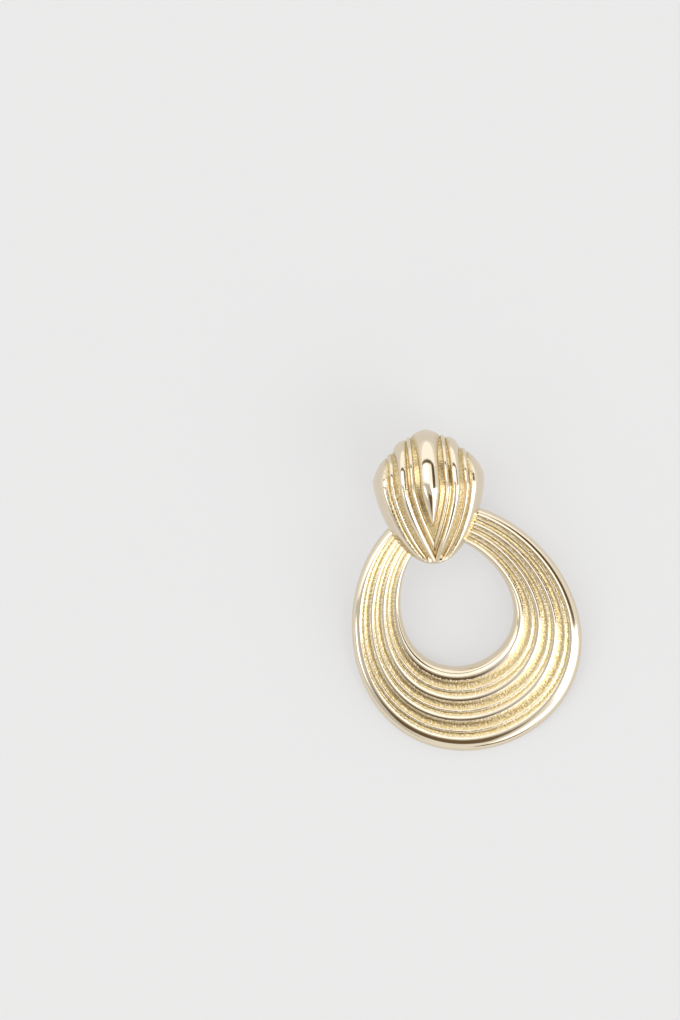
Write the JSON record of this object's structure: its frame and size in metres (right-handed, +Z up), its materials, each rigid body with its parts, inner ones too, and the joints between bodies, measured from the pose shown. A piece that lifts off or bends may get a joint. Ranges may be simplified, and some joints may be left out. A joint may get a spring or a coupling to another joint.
{
  "type": "doorknocker earring",
  "caption": "Drop earring for a pierced ear: a fluted shell stud with a ridged egg-shaped hoop hanging from a ring behind it, in polished gold-coloured metal.",
  "frame": {"origin": "on the surface it lies on, under the middle of its box", "axes": "+Z up from the surface, +Y from the bottom of the hoop towards the top of the stud, +X to the right when seen from above"},
  "size_m": [0.0352, 0.05, 0.0167],
  "materials": {
    "gold_plate": "polished plating, cast texture in the grooves",
    "gold_ring": "polished",
    "post_steel": "drawn wire, satin"
  },
  "bodies": {
    "root": {"stud": "gold_plate", "hoop": "gold_plate", "jump_ring": "gold_ring", "ear_post": "post_steel"}
  },
  "joints": []
}
